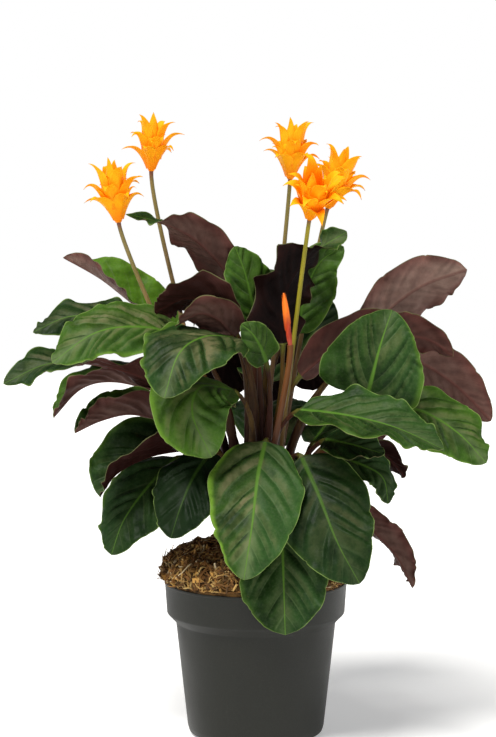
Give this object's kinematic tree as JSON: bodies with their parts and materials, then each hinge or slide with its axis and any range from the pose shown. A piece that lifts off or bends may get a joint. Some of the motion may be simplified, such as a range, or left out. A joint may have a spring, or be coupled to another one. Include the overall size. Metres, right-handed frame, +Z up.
{
  "type": "eternal flame calathea in a nursery pot",
  "caption": "Potted prayer plant with broad, waved, ribbed leaves, plum undersides and orange flower heads on slim stalks, in a round tapered nursery pot.",
  "frame": {"origin": "centre of the pot's base, on the surface it stands on", "axes": "+Z up along the pot's axis; -Y towards the plant's front, the side with the lowest hanging leaves; +X to the right seen from the front"},
  "size_m": [0.3713, 0.2558, 0.4741],
  "materials": {
    "leaf": "satin green upper side with grey-olive bands, plum-brown underside",
    "stalk": "olive-brown, satin",
    "bloom": "waxy orange bracts",
    "bud": "waxy red-orange bud",
    "pot": "dark grey moulded plastic",
    "soil": "fibrous brown peat and coir"
  },
  "bodies": {
    "root": {"bloom_left_high": "bloom", "bloom_left_low": "bloom", "bloom_right_back": "bloom", "bloom_right_front": "bloom", "bloom_right_high": "bloom", "bud": "bud", "leaf_back_centre": "leaf", "leaf_back_high": "leaf", "leaf_back_left": "leaf", "leaf_back_low_left": "leaf", "leaf_back_low_right": "leaf", "leaf_back_middle": "leaf", "leaf_back_right": "leaf", "leaf_back_small": "leaf", "leaf_back_upper_left": "leaf", "leaf_back_upper_right": "leaf", "leaf_centre_green": "leaf", "leaf_dark_left": "leaf", "leaf_dark_tall": "leaf", "leaf_front_centre": "leaf", "leaf_front_left": "leaf", "leaf_front_low": "leaf", "leaf_front_right": "leaf", "leaf_left_bright": "leaf", "leaf_left_broad": "leaf", "leaf_left_folded": "leaf", "leaf_left_long": "leaf", "leaf_left_purple": "leaf", "leaf_left_round": "leaf", "leaf_left_thin": "leaf", "leaf_left_upper": "leaf", "leaf_left_young": "leaf", "leaf_low_left": "leaf", "leaf_low_left_near": "leaf", "leaf_plum": "leaf", "leaf_plum_arch": "leaf", "leaf_right_curled": "leaf", "leaf_right_outer": "leaf", "leaf_right_plum": "leaf", "leaf_right_small": "leaf", "leaf_right_striped": "leaf", "leaf_right_tiny": "leaf", "leaf_right_under": "leaf", "leaf_right_upright": "leaf", "leaf_top_green": "leaf", "leaf_top_left": "leaf", "leaf_top_right": "leaf", "pot": "pot", "soil": "soil", "stalk_bud": "stalk", "stalk_left_high": "stalk", "stalk_left_low": "stalk", "stalk_right_back": "stalk", "stalk_right_front": "stalk", "stalk_right_high": "stalk"}
  },
  "joints": []
}
